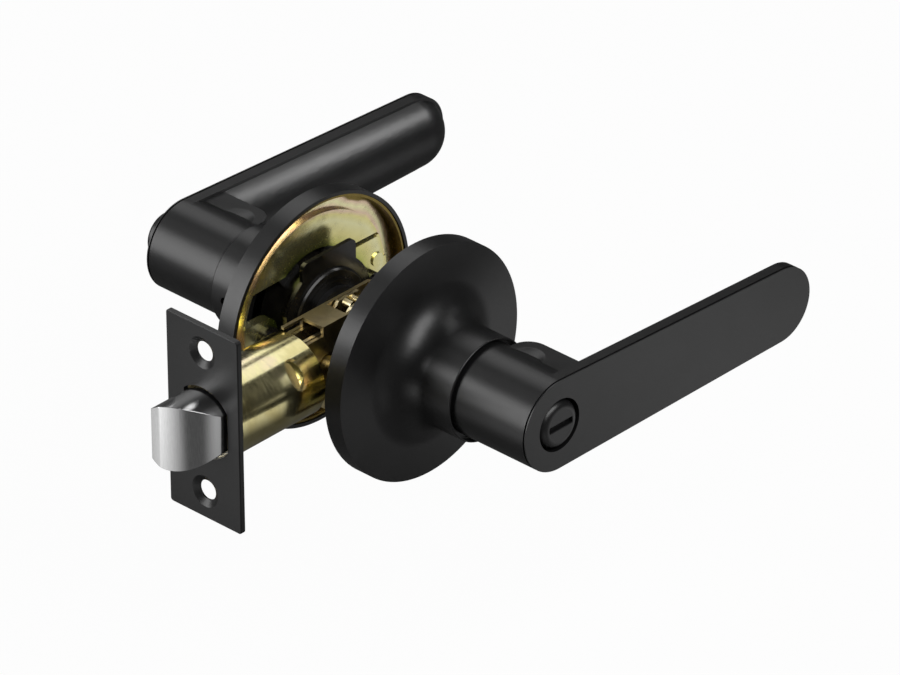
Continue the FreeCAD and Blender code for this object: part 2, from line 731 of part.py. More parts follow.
def backplate():
    front = -BACKSET + FACEPLATE_WALL
    half_y = FACEPLATE_WIDTH / 2 - BACKPLATE_INSET
    half_z = FACEPLATE_HEIGHT / 2 - BACKPLATE_INSET
    plate = box(front, front + BACKPLATE_WALL, -half_y, half_y, -half_z, half_z)
    plate = plate.makeFillet(FACEPLATE_CORNER, edges_along(plate, ALONG_X, lambda c: True))
    cuts = [bolt_section(BOLT_RADIUS, front - 1, front + BACKPLATE_WALL + 1, 2 * FREE_GAP)]
    for z in face_screw_heights():
        cuts.append(rod_x(FACE_SCREW_SINK, front - 1, front + BACKPLATE_WALL + 1, 0, z))
    return plate.cut(cuts)


def dimple(extra, low, high):
    """Oval column along the tube's normal where the wall is pressed in."""
    half_length = DIMPLE_HALF_LENGTH + extra
    half_height = DIMPLE_HALF_HEIGHT + extra
    oval = Part.Ellipse(V(0, half_height, low), V(half_length, 0, low), V(0, 0, low))
    column = Part.Face(Part.Wire(oval.toShape())).extrude(V(0, 0, high - low))
    column.rotate(ORIGIN, ALONG_X, DIMPLE_ANGLE)
    column.translate(V(SEAT_X + SEAT_WALL + SEAT_GAP + half_length, 0, 0))
    return column


def latch_tube():
    start = -BACKSET + FACEPLATE_WALL + BACKPLATE_WALL
    inner = TUBE_RADIUS - TUBE_WALL
    tube = rod_x(TUBE_RADIUS, start, TUBE_END).cut(rod_x(inner, start, TUBE_END))
    floor_top = TUBE_RADIUS - DIMPLE_DEPTH
    hollow = dimple(-TUBE_WALL / 2, floor_top, TUBE_RADIUS + 1)
    cup = dimple(0.0, floor_top - TUBE_WALL, inner + TUBE_WALL / 2)
    return tube.fuse(cup).cut(hollow).removeSplitter()


def spring_seat():
    disc = rod_x(TUBE_RADIUS - TUBE_WALL, SEAT_X, SEAT_X + SEAT_WALL)
    return disc.cut(rod_x(STEM_RADIUS + FREE_GAP, SEAT_X, SEAT_X + SEAT_WALL))


def bevel_cutter():
    """Round column whose side is the bolt's bowed bevel; what lies past it is cut off."""
    tip = V(-BACKSET - BOLT_THROW, BOLT_TIP_Y, 0)
    heel = V(-BACKSET - 1.0, -BOLT_FRONT_FLAT, 0)
    middle = tip.add(heel).multiply(0.5)
    chord = heel.sub(tip)
    normal = V(-chord.y, chord.x, 0).normalize()
    rise = math.sqrt(BOLT_BEVEL_RADIUS ** 2 - (chord.Length / 2) ** 2)
    centre = middle.add(normal.multiply(rise))
    column = Part.makeCylinder(BOLT_BEVEL_RADIUS, 4 * BOLT_RADIUS,
                               V(centre.x, centre.y, -2 * BOLT_RADIUS), V(0, 0, 1))
    corner = box(tip.x - 1, heel.x, -2 * BOLT_RADIUS, BOLT_TIP_Y, -2 * BOLT_RADIUS, 2 * BOLT_RADIUS)
    return corner.cut(column)


def bolt():
    tip = -BACKSET - BOLT_THROW
    bar = bolt_section(BOLT_RADIUS, tip, BOLT_TAIL)
    collar_front = -BACKSET + FACEPLATE_WALL + BACKPLATE_WALL + SEAT_GAP
    guide = rod_x(TUBE_RADIUS - TUBE_WALL - SEAT_GAP, collar_front, collar_front + BOLT_COLLAR_WALL)
    spring_bore = rod_x(BOLT_BORE, BOLT_TAIL - BOLT_BORE_DEPTH, BOLT_TAIL)
    return bar.fuse(guide).cut([bevel_cutter(), spring_bore]).removeSplitter()


def bolt_stem():
    return rod_x(STEM_RADIUS, BOLT_TAIL - BOLT_BORE_DEPTH, yoke_block_start())


def latch_spring():
    start = BOLT_TAIL - BOLT_BORE_DEPTH + LATCH_SPRING_WIRE / 2 + SEAT_GAP
    end = SEAT_X - LATCH_SPRING_WIRE / 2 - SEAT_GAP
    spring = coil(LATCH_SPRING_RADIUS, LATCH_SPRING_WIRE, LATCH_SPRING_SIDES, 0, end - start,
                  LATCH_SPRING_TURNS)
    spring.rotate(ORIGIN, V(0, 0, 1), -90)
    spring.translate(V(start, 0, 0))
    return spring


def yoke_block_start():
    return SEAT_X + SEAT_WALL + FREE_GAP


def pin_start_x():
    """Where the yoke's pins stand so that the cam's fingers just clear them at rest."""
    lean = math.radians(CAM_TURN / 2)
    reach = CAM_FINGER_HALF + CAM_PIN_RADIUS + CAM_START_GAP
    return reach / math.cos(lean) - CAM_PIN_HEIGHT * math.tan(lean)


def yoke():
    """Twin slotted plates that run above and below the fixing post and the hub."""
    inner = YOKE_HALF_GAP
    outer = inner + YOKE_WALL
    start = yoke_block_start()
    block = box(start, YOKE_BLOCK_END, -outer, outer, -YOKE_ARM_HIGH, YOKE_ARM_HIGH)
    pieces = [block]
    pin_x = pin_start_x()
    jog = BRIDGE_END + FREE_GAP
    top = CAM_PIN_HEIGHT + YOKE_EYE
    low = top - (YOKE_ARM_HIGH - YOKE_ARM_LOW)
    rise = top - YOKE_ARM_HIGH
    for sign in (1, -1):
        arm = [(start, YOKE_ARM_LOW), (jog + YOKE_EYE, YOKE_ARM_LOW), (jog + YOKE_EYE + rise, low),
               (pin_x + CAM_PIN_RADIUS + YOKE_EYE, low), (pin_x + CAM_PIN_RADIUS + YOKE_EYE, top),
               (jog + rise, top), (jog, YOKE_ARM_HIGH), (start, YOKE_ARM_HIGH)]
        arm = [(x, sign * z) for x, z in arm]
        pieces.append(plate_y(arm, inner, outer))
        pieces.append(plate_y(arm, -outer, -inner))
    return pieces[0].fuse(pieces[1:]).removeSplitter()


def yoke_pins():
    outer = YOKE_HALF_GAP + YOKE_WALL
    pins = [rod_y(CAM_PIN_RADIUS, -outer, outer, pin_start_x(), z)
            for z in (-CAM_PIN_HEIGHT, CAM_PIN_HEIGHT)]
    return Part.makeCompound(pins)


def drilled_yoke():
    outer = YOKE_HALF_GAP + YOKE_WALL
    holes = [rod_y(CAM_PIN_RADIUS + 0.02, -outer, outer, pin_start_x(), z)
             for z in (-CAM_PIN_HEIGHT, CAM_PIN_HEIGHT)]
    return yoke().cut(holes)


def case_side():
    return YOKE_HALF_GAP + YOKE_WALL + CASE_GAP


def latch_case():
    """Folded tail: two side plates round the cam, joined by bridges behind the tube."""
    inner = case_side()
    outer = inner + CASE_WALL
    tab = math.sqrt((TUBE_RADIUS - TUBE_WALL - SEAT_GAP) ** 2 - outer ** 2)
    body = box(CASE_FRONT, 0, inner, outer, -CASE_HALF_HEIGHT, CASE_HALF_HEIGHT)
    nose = rod_y(CASE_END_RADIUS, inner, outer)
    nose = nose.common(box(0, CASE_END_RADIUS, inner, outer, -CASE_HALF_HEIGHT, CASE_HALF_HEIGHT))
    tongue = box(TUBE_END - CASE_TAB_LENGTH, CASE_FRONT, inner, outer, -tab, tab)
    side = body.fuse([nose, tongue]).removeSplitter()
    pieces = [side, side.mirror(ORIGIN, ALONG_Y)]
    lip = inner
    for sign in (1, -1):
        low, high = sorted((sign * CASE_HALF_HEIGHT, sign * (CASE_HALF_HEIGHT - CASE_WALL)))
        pieces.append(box(CASE_FRONT, BRIDGE_END, -outer, outer, low, high))
        low, high = sorted((sign * CASE_HALF_HEIGHT, sign * (TUBE_RADIUS - SEAT_GAP)))
        pieces.append(box(TUBE_END + SEAT_GAP, CASE_FRONT, lip, outer, low, high))
    case = pieces[0].fuse(pieces[1:])
    holes = [rod_y(CAM_HUB_RADIUS + RUNNING_FIT, -outer, outer),
             rod_y(POST_RADIUS + FREE_GAP, -outer, outer, -FIXING_X)]
    return case.cut(holes).removeSplitter()


def latch_cam():
    """Square-holed hub with two fingers that lean back and drive the yoke's pins."""
    lean = math.radians(CAM_TURN / 2)
    outer = case_side() + CASE_WALL
    hub = rod_y(CAM_HUB_RADIUS, -outer, outer)
    half = CAM_FINGER_HALF
    thick = YOKE_HALF_GAP - FREE_GAP
    fingers = []
    for sign in (1, -1):
        finger = box(-half, half, -thick, thick, 0, CAM_FINGER_LENGTH - half)
        finger = finger.fuse(rod_y(half, -thick, thick, 0, CAM_FINGER_LENGTH - half))
        if sign < 0:
            finger.rotate(ORIGIN, ALONG_X, 180)
        finger.rotate(ORIGIN, ALONG_Y, -sign * math.degrees(lean))
        fingers.append(finger)
    side = SPINDLE_SIDE / 2 + RUNNING_FIT
    hole = box(-side, side, -outer, outer, -side, side)
    return hub.fuse(fingers).cut(hole).removeSplitter()


def build_half(place, name, catch_hole):
    """The pieces that both halves share; place puts them on their side of the door."""
    export(name + "_rose", place(rose(catch_hole)))
    export(name + "_liner", place(liner()))
    export(name + "_spring_housing", place(spring_housing()))
    export(name + "_return_spring", place(return_spring()))
    export(name + "_spring_driver", place(spring_driver()))
    export(name + "_sleeve", place(sleeve()))
    export(name + "_retaining_ring", place(retaining_ring()))
    export(name + "_lever", place(lever()))
    export(name + "_lever_pin", place(lever_pin()))


def main():
    os.makedirs("parts", exist_ok=True)
    build_half(to_outside, "outside", False)
    build_half(lambda shape: shape, "inside", True)
    export("outside_release_button", to_outside(release_button()))
    export("inside_push_button", push_button())
    export("lock_bar", lock_bar())
    export("drive_spindle", drive_spindle())
    export("mounting_posts", mounting_posts())
    export("mounting_screws", mounting_screws())
    export("latch_faceplate", faceplate())
    export("latch_backplate", backplate())
    export("latch_tube", latch_tube())
    export("latch_spring_seat", spring_seat())
    export("latch_bolt", bolt())
    export("latch_stem", bolt_stem())
    export("latch_spring", latch_spring())
    export("latch_yoke", drilled_yoke())
    export("latch_yoke_pins", yoke_pins())
    export("latch_case", latch_case())
    export("latch_cam", latch_cam())


main()
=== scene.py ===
"""Looks of a privacy lever door lock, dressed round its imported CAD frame."""

import json
import logging
import math
from dataclasses import dataclass
from enum import Enum

import bmesh
import bpy
from mathutils import Matrix, Vector

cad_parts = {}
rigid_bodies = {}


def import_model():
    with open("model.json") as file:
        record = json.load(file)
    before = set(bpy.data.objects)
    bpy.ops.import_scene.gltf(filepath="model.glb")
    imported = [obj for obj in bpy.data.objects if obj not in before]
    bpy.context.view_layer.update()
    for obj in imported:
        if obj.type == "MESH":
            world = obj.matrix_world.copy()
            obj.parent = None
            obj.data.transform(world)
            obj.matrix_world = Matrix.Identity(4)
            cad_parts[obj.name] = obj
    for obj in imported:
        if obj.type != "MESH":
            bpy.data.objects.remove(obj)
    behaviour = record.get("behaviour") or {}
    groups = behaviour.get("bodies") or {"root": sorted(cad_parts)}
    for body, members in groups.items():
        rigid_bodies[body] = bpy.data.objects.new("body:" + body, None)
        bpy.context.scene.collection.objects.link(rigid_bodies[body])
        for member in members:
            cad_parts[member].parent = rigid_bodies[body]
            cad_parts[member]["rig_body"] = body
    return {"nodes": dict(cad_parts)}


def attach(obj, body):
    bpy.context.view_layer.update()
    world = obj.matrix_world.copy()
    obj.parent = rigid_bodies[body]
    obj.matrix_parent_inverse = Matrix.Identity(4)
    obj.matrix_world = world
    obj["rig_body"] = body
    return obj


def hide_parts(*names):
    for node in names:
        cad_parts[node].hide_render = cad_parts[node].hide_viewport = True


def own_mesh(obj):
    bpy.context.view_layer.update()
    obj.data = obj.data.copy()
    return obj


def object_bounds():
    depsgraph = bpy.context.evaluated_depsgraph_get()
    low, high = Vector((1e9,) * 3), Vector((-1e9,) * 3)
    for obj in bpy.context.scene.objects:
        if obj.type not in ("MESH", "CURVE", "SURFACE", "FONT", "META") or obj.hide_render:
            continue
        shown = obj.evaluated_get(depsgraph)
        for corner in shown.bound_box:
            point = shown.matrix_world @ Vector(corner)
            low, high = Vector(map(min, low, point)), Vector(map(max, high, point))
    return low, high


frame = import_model()
CAD_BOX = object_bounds()

LOG = logging.getLogger("door_lock")
MM = 0.001
WHITE = (1.0, 1.0, 1.0, 1.0)
NOISE_LOW, NOISE_HIGH = 0.3, 0.7  # most of a noise pattern lies between these
RAMP_MIDDLE = 0.5  # where a ramp's new stops wait for their own places
Colour = tuple[float, float, float]
Triple = tuple[float, float, float]
Stops = tuple[tuple[float, Colour], ...]
Socket = bpy.types.NodeSocket


class Side(Enum):
    """The two faces of the door."""

    OUTSIDE = "outside"
    INSIDE = "inside"


def even(scale: float) -> Triple:
    """The same scale on all three axes."""
    return (scale, scale, scale)


@dataclass(frozen=True)
class Noise:
    """A noise pattern on Object coordinates.

    Attributes:
        scale: patches to the metre along X, Y and Z.
        detail: octaves of finer noise.
        roughness: how strong the finer octaves are.
        distortion: how far the patches are pulled about.
    """

    scale: Triple
    detail: float = 2.0
    roughness: float = 0.5
    distortion: float = 0.0


class NodeSheet:
    """Adds nodes to the shader tree of the world or of a material."""

    def __init__(self, tree: bpy.types.NodeTree) -> None:
        """Empties the tree.

        Args:
            tree: the tree to fill.
        """
        self.tree = tree
        self.tree.nodes.clear()

    def feed(self, node: bpy.types.Node, values: dict[str | int, object]) -> None:
        """Sets or links a node's inputs.

        Args:
            node: the node.
            values: for an input's name or number, a constant or the output that drives it.
        """
        for key, value in values.items():
            if isinstance(value, Socket):
                self.tree.links.new(value, node.inputs[key])
            else:
                node.inputs[key].default_value = value

    def node(
        self, kind: str, output: str, values: dict[str | int, object], operation: str = ""
    ) -> Socket:
        """Adds a node.

        Args:
            kind: the node's type.
            output: the name of the output that is wanted.
            values: the inputs, as feed takes them.
            operation: what the node works out, if it has a choice of that.

        Returns:
            The wanted output.
        """
        node = self.tree.nodes.new(kind)
        if operation:
            node.operation = operation
        self.feed(node, values)
        return node.outputs[output]

    def reckon(self, operation: str, *values: Socket | float) -> Socket:
        """Adds a Math node.

        Args:
            operation: what it works out.
            values: its inputs in turn.

        Returns:
            The result.
        """
        return self.node("ShaderNodeMath", "Value", dict(enumerate(values)), operation)

    def mixed(self, share: Socket, first: Socket, second: Socket) -> Socket:
        """Mixes two shaders.

        Args:
            share: how much of the second one shows.
            first: the shader for a share of 0.
            second: the shader for a share of 1.

        Returns:
            The mixed shader.
        """
        return self.node("ShaderNodeMixShader", "Shader", {0: share, 1: first, 2: second})

    def ray(self, kind: str) -> Socket:
        """1 for rays of one kind, else 0."""
        return self.node("ShaderNodeLightPath", f"Is {kind} Ray", {})

    def straight(self, share: float) -> Socket:
        """Picks out the rays that look straight at the stage, or through a clear pane.

        Args:
            share: the value that those rays get.

        Returns:
            The share for such a ray, else 0.
        """
        either = self.reckon("MAXIMUM", self.ray("Camera"), self.ray("Transmission"))
        return self.reckon("MULTIPLY", either, share)


class ShaderSheet(NodeSheet):
    """Builds one node material on Object coordinates."""

    def __init__(self, name: str) -> None:
        """Starts a material with nothing but its shader.

        Args:
            name: the finish's name in plain words.
        """
        self.material = bpy.data.materials.new(name)
        self.material.use_nodes = True
        super().__init__(self.material.node_tree)
        self.surface = self.tree.nodes.new("ShaderNodeBsdfPrincipled")
        self.output = self.tree.nodes.new("ShaderNodeOutputMaterial")
        self.feed(self.output, {"Surface": self.surface.outputs["BSDF"]})
        self.place = self.node("ShaderNodeTexCoord", "Object", {})
        self.patterns: dict[Noise, Socket] = {}

    def mapped(self, scale: Triple, shift: Triple = (0.0, 0.0, 0.0)) -> Socket:
        """Object coordinates, scaled and then shifted.

        Args:
            scale: the scale on each axis.
            shift: what is added on each axis.

        Returns:
            The new coordinates.
        """
        values = {"Vector": self.place, "Scale": scale, "Location": shift}
        return self.node("ShaderNodeMapping", "Vector", values)

    def distance(self, axes: Triple, centre: Triple = (0.0, 0.0, 0.0)) -> Socket:
        """How far a point lies from an axis of the part, or from a line beside it.

        Args:
            axes: 1 for each axis that counts and 0 for the one that the line runs along.
            centre: where the line stands.

        Returns:
            The distance in metres.
        """
        offset = self.mapped(axes, tuple(-value for value in centre))
        return self.node("ShaderNodeVectorMath", "Value", {0: offset}, "LENGTH")

    def noise(self, pattern: Noise) -> Socket:
        """A noise pattern, built once and then shared.

        Args:
            pattern: its sizes.

        Returns:
            The noise's factor, about 0 to 1.
        """
        if pattern not in self.patterns:
            values = {
                "Vector": self.mapped(pattern.scale),
                "Scale": 1.0,
                "Detail": pattern.detail,
                "Roughness": pattern.roughness,
                "Distortion": pattern.distortion,
            }
            self.patterns[pattern] = self.node("ShaderNodeTexNoise", "Fac", values)
        return self.patterns[pattern]

    def ranged(
        self,
        source: Socket,
        low: float,
        high: float,
        start: float = NOISE_LOW,
        end: float = NOISE_HIGH,
    ) -> Socket:
        """A value carried from one range to another.

        Args:
            source: the value to carry over.
            low: the result at the start.
            high: the result at the end.
            start: the source value that gives the low result.
            end: the source value that gives the high result.

        Returns:
            The carried value.
        """
        values = {"Value": source, "From Min": start, "From Max": end}
        values |= {"To Min": low, "To Max": high}
        return self.node("ShaderNodeMapRange", "Result", values)

    def ramp(self, source: Socket, stops: Stops) -> Socket:
        """A colour ramp.

        Args:
            source: the value that picks the colour.
            stops: places along the ramp and their colours.

        Returns:
            The picked colour.
        """
        result = self.node("ShaderNodeValToRGB", "Color", {"Fac": source})
        elements = result.node.color_ramp.elements
        while len(elements) < len(stops):
            elements.new(RAMP_MIDDLE)
        for element, (place, colour) in zip(elements, stops):
            element.position = place
            element.color = (*colour, 1.0)
        return result

    def relief(self, height: Socket, strength: float, depth: float) -> None:
        """Bumps the surface.

        Args:
            height: the pattern of heights.
            strength: how far the bump shows.
            depth: the height of a full step, in metres.
        """
        values = {"Height": height, "Strength": strength, "Distance": depth}
        self.feed(self.surface, {"Normal": self.node("ShaderNodeBump", "Normal", values)})


@dataclass(frozen=True, kw_only=True)
class Finish:
    """A surface finish: a tint, a sheen and a fine grain, each from a noise pattern.

    Attributes:
        name: the finish's name in plain words.
        tint: the pattern that picks the colour.
        sheen: the pattern of smoother and rougher places.
        polish: the roughness at the low and at the high end of that pattern.
        grain: the pattern of heights, if the surface has one.
        bump: how far the grain shows.
        depth: the height of a full step of the grain, in metres.
        metallic: 1 for bare metal, 0 for a coat.
        specular: how strongly a coat reflects.
    """

    name: str
    tint: Noise
    sheen: Noise
    polish: tuple[float, float]
    grain: Noise | None = None
    bump: float = 0.08
    depth: float = 0.05 * MM
    metallic: float = 1.0
    specular: float = 0.5

    def stops(self) -> Stops:
        """The finish's colours and their places along the tint; each finish has its own."""
        raise NotImplementedError

    def picker(self, sheet: ShaderSheet) -> Socket:
        """The value that picks a colour: the bare tint pattern."""
        return sheet.noise(self.tint)

    def material(self) -> bpy.types.Material:
        """Builds the finish as a node material.

        Returns:
            The material.
        """
        sheet = ShaderSheet(self.name)
        values = {
            "Base Color": sheet.ramp(self.picker(sheet), self.stops()),
            "Metallic": self.metallic,
            "Specular IOR Level": self.specular,
            "Roughness": sheet.ranged(sheet.noise(self.sheen), *self.polish),
        }
        sheet.feed(sheet.surface, values)
        if self.grain:
            sheet.relief(sheet.noise(self.grain), self.bump, self.depth)
        return sheet.material


@dataclass(frozen=True, kw_only=True)
class TwoTone(Finish):
    """A finish that drifts between a dark and a light colour."""

    dark: Colour
    light: Colour

    def stops(self) -> Stops:
        """The two colours, at the ends of a noise pattern's usual range."""
        return ((NOISE_LOW, self.dark), (NOISE_HIGH, self.light))


@dataclass(frozen=True, kw_only=True)
class BlackCoat(TwoTone):
    """Satin black coating on cast and pressed metal."""

    name: str = "satin_black_coat"
    dark: Colour = (0.006, 0.006, 0.0062)
    light: Colour = (0.009, 0.009, 0.0092)
    tint: Noise = Noise(even(90.0), detail=3.0)
    sheen: Noise = Noise(even(2600.0))
    polish: tuple[float, float] = (0.335, 0.385)
    grain: Noise = Noise(even(2600.0))
    bump: float = 0.05
    depth: float = 0.04 * MM
    metallic: float = 0.0
    specular: float = 0.6


@dataclass(frozen=True, kw_only=True)
class LinerZinc(Finish):
    """Bright yellow passivate on the pans, tinted in rings round the spindle: green at the bore,
    pale and pink across the face, dark brown at the rim.

    Attributes:
        bore: how far from the spindle axis the rings start.
        rim: how far from it they end.
        drift: how far the tint pattern pulls them in and out, as a share of that way.
    """

    name: str = "ringed_yellow_zinc"
    bore: float = 16.6 * MM
    rim: float = 31.6 * MM
    drift: float = 0.07
    green: Colour = (0.40, 0.48, 0.08)
    olive: Colour = (0.66, 0.66, 0.20)
    yellow: Colour = (0.90, 0.82, 0.36)
    pale: Colour = (0.95, 0.91, 0.52)
    pink: Colour = (0.90, 0.68, 0.50)
    brown: Colour = (0.22, 0.16, 0.04)
    tint: Noise = Noise(even(70.0), distortion=0.5)
    sheen: Noise = Noise(even(420.0), detail=4.0, roughness=0.6)
    polish: tuple[float, float] = (0.16, 0.30)
    grain: Noise = Noise(even(700.0), detail=3.0)
    metallic: float = 0.94

    def stops(self) -> Stops:
        """The colours of the rings.

        Returns:
            The stops from the bore to the rim.
        """
        return (
            (0.0, self.green),
            (0.1, self.olive),
            (0.28, self.yellow),
            (0.5, self.pale),
            (0.64, self.yellow),
            (0.71, self.pink),
            (0.80, self.pale),
            (0.88, self.pink),
            (0.92, self.brown),
        )

    def picker(self, sheet: ShaderSheet) -> Socket:
        """How far out a point lies, pulled about by the tint pattern.

        Args:
            sheet: the finish's material.

        Returns:
            0 at the bore to 1 at the rim.
        """
        rings = sheet.ranged(sheet.distance((1.0, 0.0, 1.0)), 0.0, 1.0, self.bore, self.rim)
        wander = sheet.ranged(sheet.noise(self.tint), -self.drift, self.drift)
        return sheet.reckon("ADD", rings, wander)


@dataclass(frozen=True, kw_only=True)
class YellowZinc(Finish):
    """Zinc plate on the small parts, whose yellow passivate turns green and pink in places."""

    name: str = "yellow_zinc_plate"
    green: Colour = (0.40, 0.42, 0.16)
    yellow: Colour = (0.66, 0.55, 0.30)
    pale: Colour = (0.74, 0.66, 0.44)
    pink: Colour = (0.66, 0.48, 0.36)
    tint: Noise = Noise(even(90.0), detail=2.5, distortion=0.6)
    sheen: Noise = Noise(even(420.0), detail=4.0, roughness=0.6)
    polish: tuple[float, float] = (0.21, 0.38)
    grain: Noise = Noise(even(900.0), detail=3.0)
    bump: float = 0.1

    def stops(self) -> Stops:
        """The four tints along the pattern."""
        return ((0.28, self.green), (0.44, self.yellow), (0.6, self.pale), (0.74, self.pink))


@dataclass(frozen=True, kw_only=True)
class BrownZinc(TwoTone):
    """Older, browner passivate on the folded tail of the latch."""

    name: str = "brown_zinc_plate"
    dark: Colour = (0.30, 0.24, 0.14)
    light: Colour = (0.52, 0.44, 0.24)
    tint: Noise = Noise(even(260.0), detail=4.0, distortion=0.4)
    sheen: Noise = Noise(even(260.0), detail=4.0, distortion=0.4)
    polish: tuple[float, float] = (0.42, 0.28)
    grain: Noise = Noise(even(1100.0))


@dataclass(frozen=True, kw_only=True)
class RubbedZinc(Finish):
    """Pale yellow zinc on the latch tube, rubbed along and round it."""

    name: str = "rubbed_zinc_tube"
    brown: Colour = (0.40, 0.32, 0.13)
    gold: Colour = (0.68, 0.59, 0.27)
    pale: Colour = (0.86, 0.79, 0.43)
    pink: Colour = (0.82, 0.66, 0.50)
    tint: Noise = Noise(even(60.0), detail=3.0, distortion=0.3)
    sheen: Noise = Noise((1900.0, 260.0, 260.0), detail=3.0)
    polish: tuple[float, float] = (0.13, 0.23)
    grain: Noise = Noise((1900.0, 260.0, 260.0), detail=3.0)
    bump: float = 0.03
    depth: float = 0.03 * MM

    def stops(self) -> Stops:
        """The four tints along the pattern."""
        return ((0.3, self.brown), (0.46, self.gold), (0.6, self.pale), (0.72, self.pink))


@dataclass(frozen=True, kw_only=True)
class SatinChrome(TwoTone):
    """Satin plate with a fine brushed grain, on the bolt."""

    name: str = "satin_chrome_bolt"
    dark: Colour = (0.74, 0.74, 0.74)
    light: Colour = (0.82, 0.82, 0.82)
    tint: Noise = Noise((4000.0, 4000.0, 500.0))
    sheen: Noise = Noise((4000.0, 4000.0, 500.0))
    polish: tuple[float, float] = (0.18, 0.23)
    grain: Noise = Noise((4000.0, 4000.0, 500.0))
    bump: float = 0.02
    depth: float = 0.01 * MM


@dataclass(frozen=True, kw_only=True)
class DarkSteel(TwoTone):
    """Blackened steel of the brackets, rings and screws."""

    name: str = "blackened_steel"
    dark: Colour = (0.005, 0.0045, 0.004)
    light: Colour = (0.012, 0.011, 0.009)
    tint: Noise = Noise(even(240.0), detail=4.0)
    sheen: Noise = Noise(even(240.0), detail=4.0)
    polish: tuple[float, float] = (0.15, 0.30)
    grain: Noise = Noise(even(1400.0))
    metallic: float = 0.0
    specular: float = 0.35


@dataclass(frozen=True, kw_only=True)
class SpringWire(TwoTone):
    """Drawn spring wire, oiled grey."""

    name: str = "spring_wire"
    dark: Colour = (0.30, 0.29, 0.27)
    light: Colour = (0.48, 0.46, 0.42)
    tint: Noise = Noise(even(800.0), detail=3.0)
    sheen: Noise = Noise(even(800.0), detail=3.0)
    polish: tuple[float, float] = (0.25, 0.40)


@dataclass(frozen=True)
class NodeCopy:
    """A merged copy of a CAD node, which stands for it.

    Attributes:
        node: the node's name.
        merge: points nearer than this become one, in metres.
        flat: edges that turn less than this are dissolved, in radians.
    """

    node: str
    merge: float = 0.002 * MM
    flat: float = math.radians(0.3)

    def build(self, sharp: float) -> bpy.types.Object:
        """Makes the copy.

        Args:
            sharp: edges that turn further than this stay sharp, in radians.

        Returns:
            The copy.
        """
        source = frame["nodes"][self.node]
        mesh = bpy.data.meshes.new(self.node + "_finished")
        shape = bmesh.new()
        shape.from_mesh(source.data)
        for layer in list(shape.loops.layers.uv):
            shape.loops.layers.uv.remove(layer)
        bmesh.ops.remove_doubles(shape, verts=shape.verts, dist=self.merge)
        bmesh.ops.dissolve_limit(
            shape, angle_limit=self.flat, verts=shape.verts, edges=shape.edges
        )
        bmesh.ops.recalc_face_normals(shape, faces=shape.faces)
        for face in shape.faces:
            face.smooth = True
        shape.to_mesh(mesh)
        shape.free()
        mesh.set_sharp_from_angle(angle=sharp)
        piece = bpy.data.objects.new(self.node + "_finished", mesh)
        bpy.context.scene.collection.objects.link(piece)
        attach(piece, source["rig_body"])
        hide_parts(self.node)
        return piece


@dataclass(frozen=True)
class PackingSpring:
    """A coil spring along X, copied as it stands; it keeps its length when the piece it pushes
    comes back.

    Attributes:
        node: the spring's CAD node.
        joint: the slide that would shorten it; not used.
        stroke: how far that slide goes, in metres; not used.
        sharp: edges that turn further than this stay sharp, in radians.
    """

    node: str
    joint: str
    stroke: float
    sharp: float = math.radians(60.0)

    def build(self) -> bpy.types.Object:
        """Makes the spring as a copy of the node, with a mesh of its own.

        Returns:
            The copy that stands for the node.
        """
        piece = NodeCopy(self.node).build(self.sharp)
        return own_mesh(piece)


@dataclass(frozen=True)
class BrokenEdges:
    """A copy of a CAD node whose edges are rounded, as tumbling and coating leave them.

    Attributes:
        node: the node's name.
        width: how far an edge is rounded back, in metres.
        sharp: edges that turn further than this are rounded, in radians.
        segments: steps of the rounding.
    """

    node: str
    width: float
    sharp: float = math.radians(32.0)
    segments: int = 3

    def build(self) -> bpy.types.Object:
        """Makes the copy, which stands for the node.

        Returns:
            The copy, with its bevel as a modifier.
        """
        piece = NodeCopy(self.node).build(self.sharp)
        self.round_over(piece)
        return piece

    def round_over(self, piece: bpy.types.Object) -> None:
        """Adds the bevel that rounds the sharp edges, and keeps the flats flat beside it.

        Args:
            piece: the copy.
        """
        bevel = piece.modifiers.new("broken_edges", "BEVEL")
        bevel.width = self.width
        bevel.segments = self.segments
        bevel.limit_method = "ANGLE"
        bevel.angle_limit = self.sharp
        level = piece.modifiers.new("level_faces", "WEIGHTED_NORMAL")
        level.mode = "FACE_AREA"
        level.keep_sharp = True


class FinishRack:
    """The finishes, each built once and shared by the nodes that wear it."""

    def __init__(self) -> None:
        """Builds every material."""
        self.coat = BlackCoat().material()
        self.liner = LinerZinc().material()
        self.zinc = YellowZinc().material()
        self.tail = BrownZinc().material()
        self.tube = RubbedZinc().material()
        self.chrome = SatinChrome().material()
        self.steel = DarkSteel().material()
        self.wire = SpringWire().material()

    def dress(self, node: str, material: bpy.types.Material, edge: float = 0.0) -> None:
        """Puts a finish on a CAD node, or on a copy of it with its sharp edges broken.

        Args:
            node: the node's name.
            material: the finish it wears.
            edge: how far the sharp edges are rounded back, in metres; 0 keeps the node itself.
        """
        piece = BrokenEdges(node, edge).build() if edge else frame["nodes"][node]
        slots = piece.data.materials
        slots.clear()
        slots.append(material)
        LOG.info("dressed %s in %s", node, material.name)


